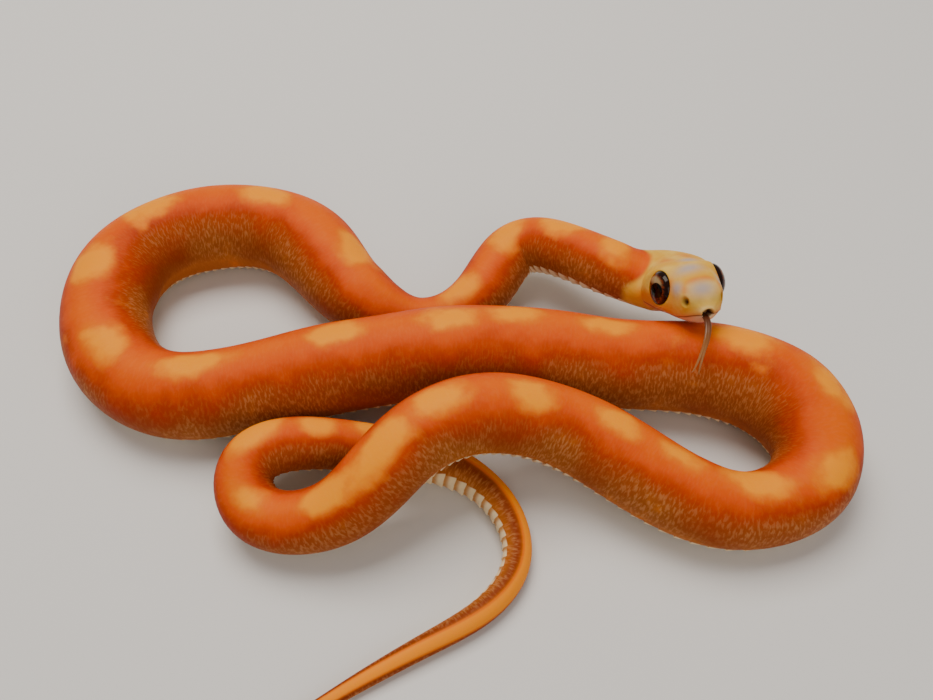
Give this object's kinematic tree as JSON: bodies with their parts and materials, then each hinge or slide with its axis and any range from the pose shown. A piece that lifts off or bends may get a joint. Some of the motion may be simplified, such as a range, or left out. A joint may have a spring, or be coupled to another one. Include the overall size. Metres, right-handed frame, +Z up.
{
  "type": "scaleless corn snake model",
  "caption": "Still life-size model of a young scaleless corn snake lying in loose bends, its raised head turned to face forward with the tongue out.",
  "frame": {"origin": "middle of the animal's box on the floor it lies on", "axes": "+Z up, -Y towards the viewer of the picture, which is the way the head faces, and +X to the picture's right"},
  "size_m": [0.0868, 0.0658, 0.0146],
  "materials": {
    "body_skin": "smooth scaleless skin with a satin sheen, orange with yellow blotches and a cream belly",
    "head_skin": "smooth thin skin with a satin sheen, pale yellow with lavender-grey patches",
    "eye": "wet, clear cap over a red-brown iris and a round black pupil",
    "tongue": "moist, dark brown at the root and tan at the tips"
  },
  "bodies": {
    "root": {"head": "head_skin", "lower_jaw": "head_skin", "eye_right": "eye", "eye_left": "eye", "tongue": "tongue", "neck": "body_skin", "body_1": "body_skin", "body_2": "body_skin", "body_3": "body_skin", "body_4": "body_skin", "body_5": "body_skin", "body_6": "body_skin", "body_7": "body_skin", "body_8": "body_skin", "body_9": "body_skin", "tail_base": "body_skin", "tail_tip": "body_skin"}
  },
  "joints": []
}
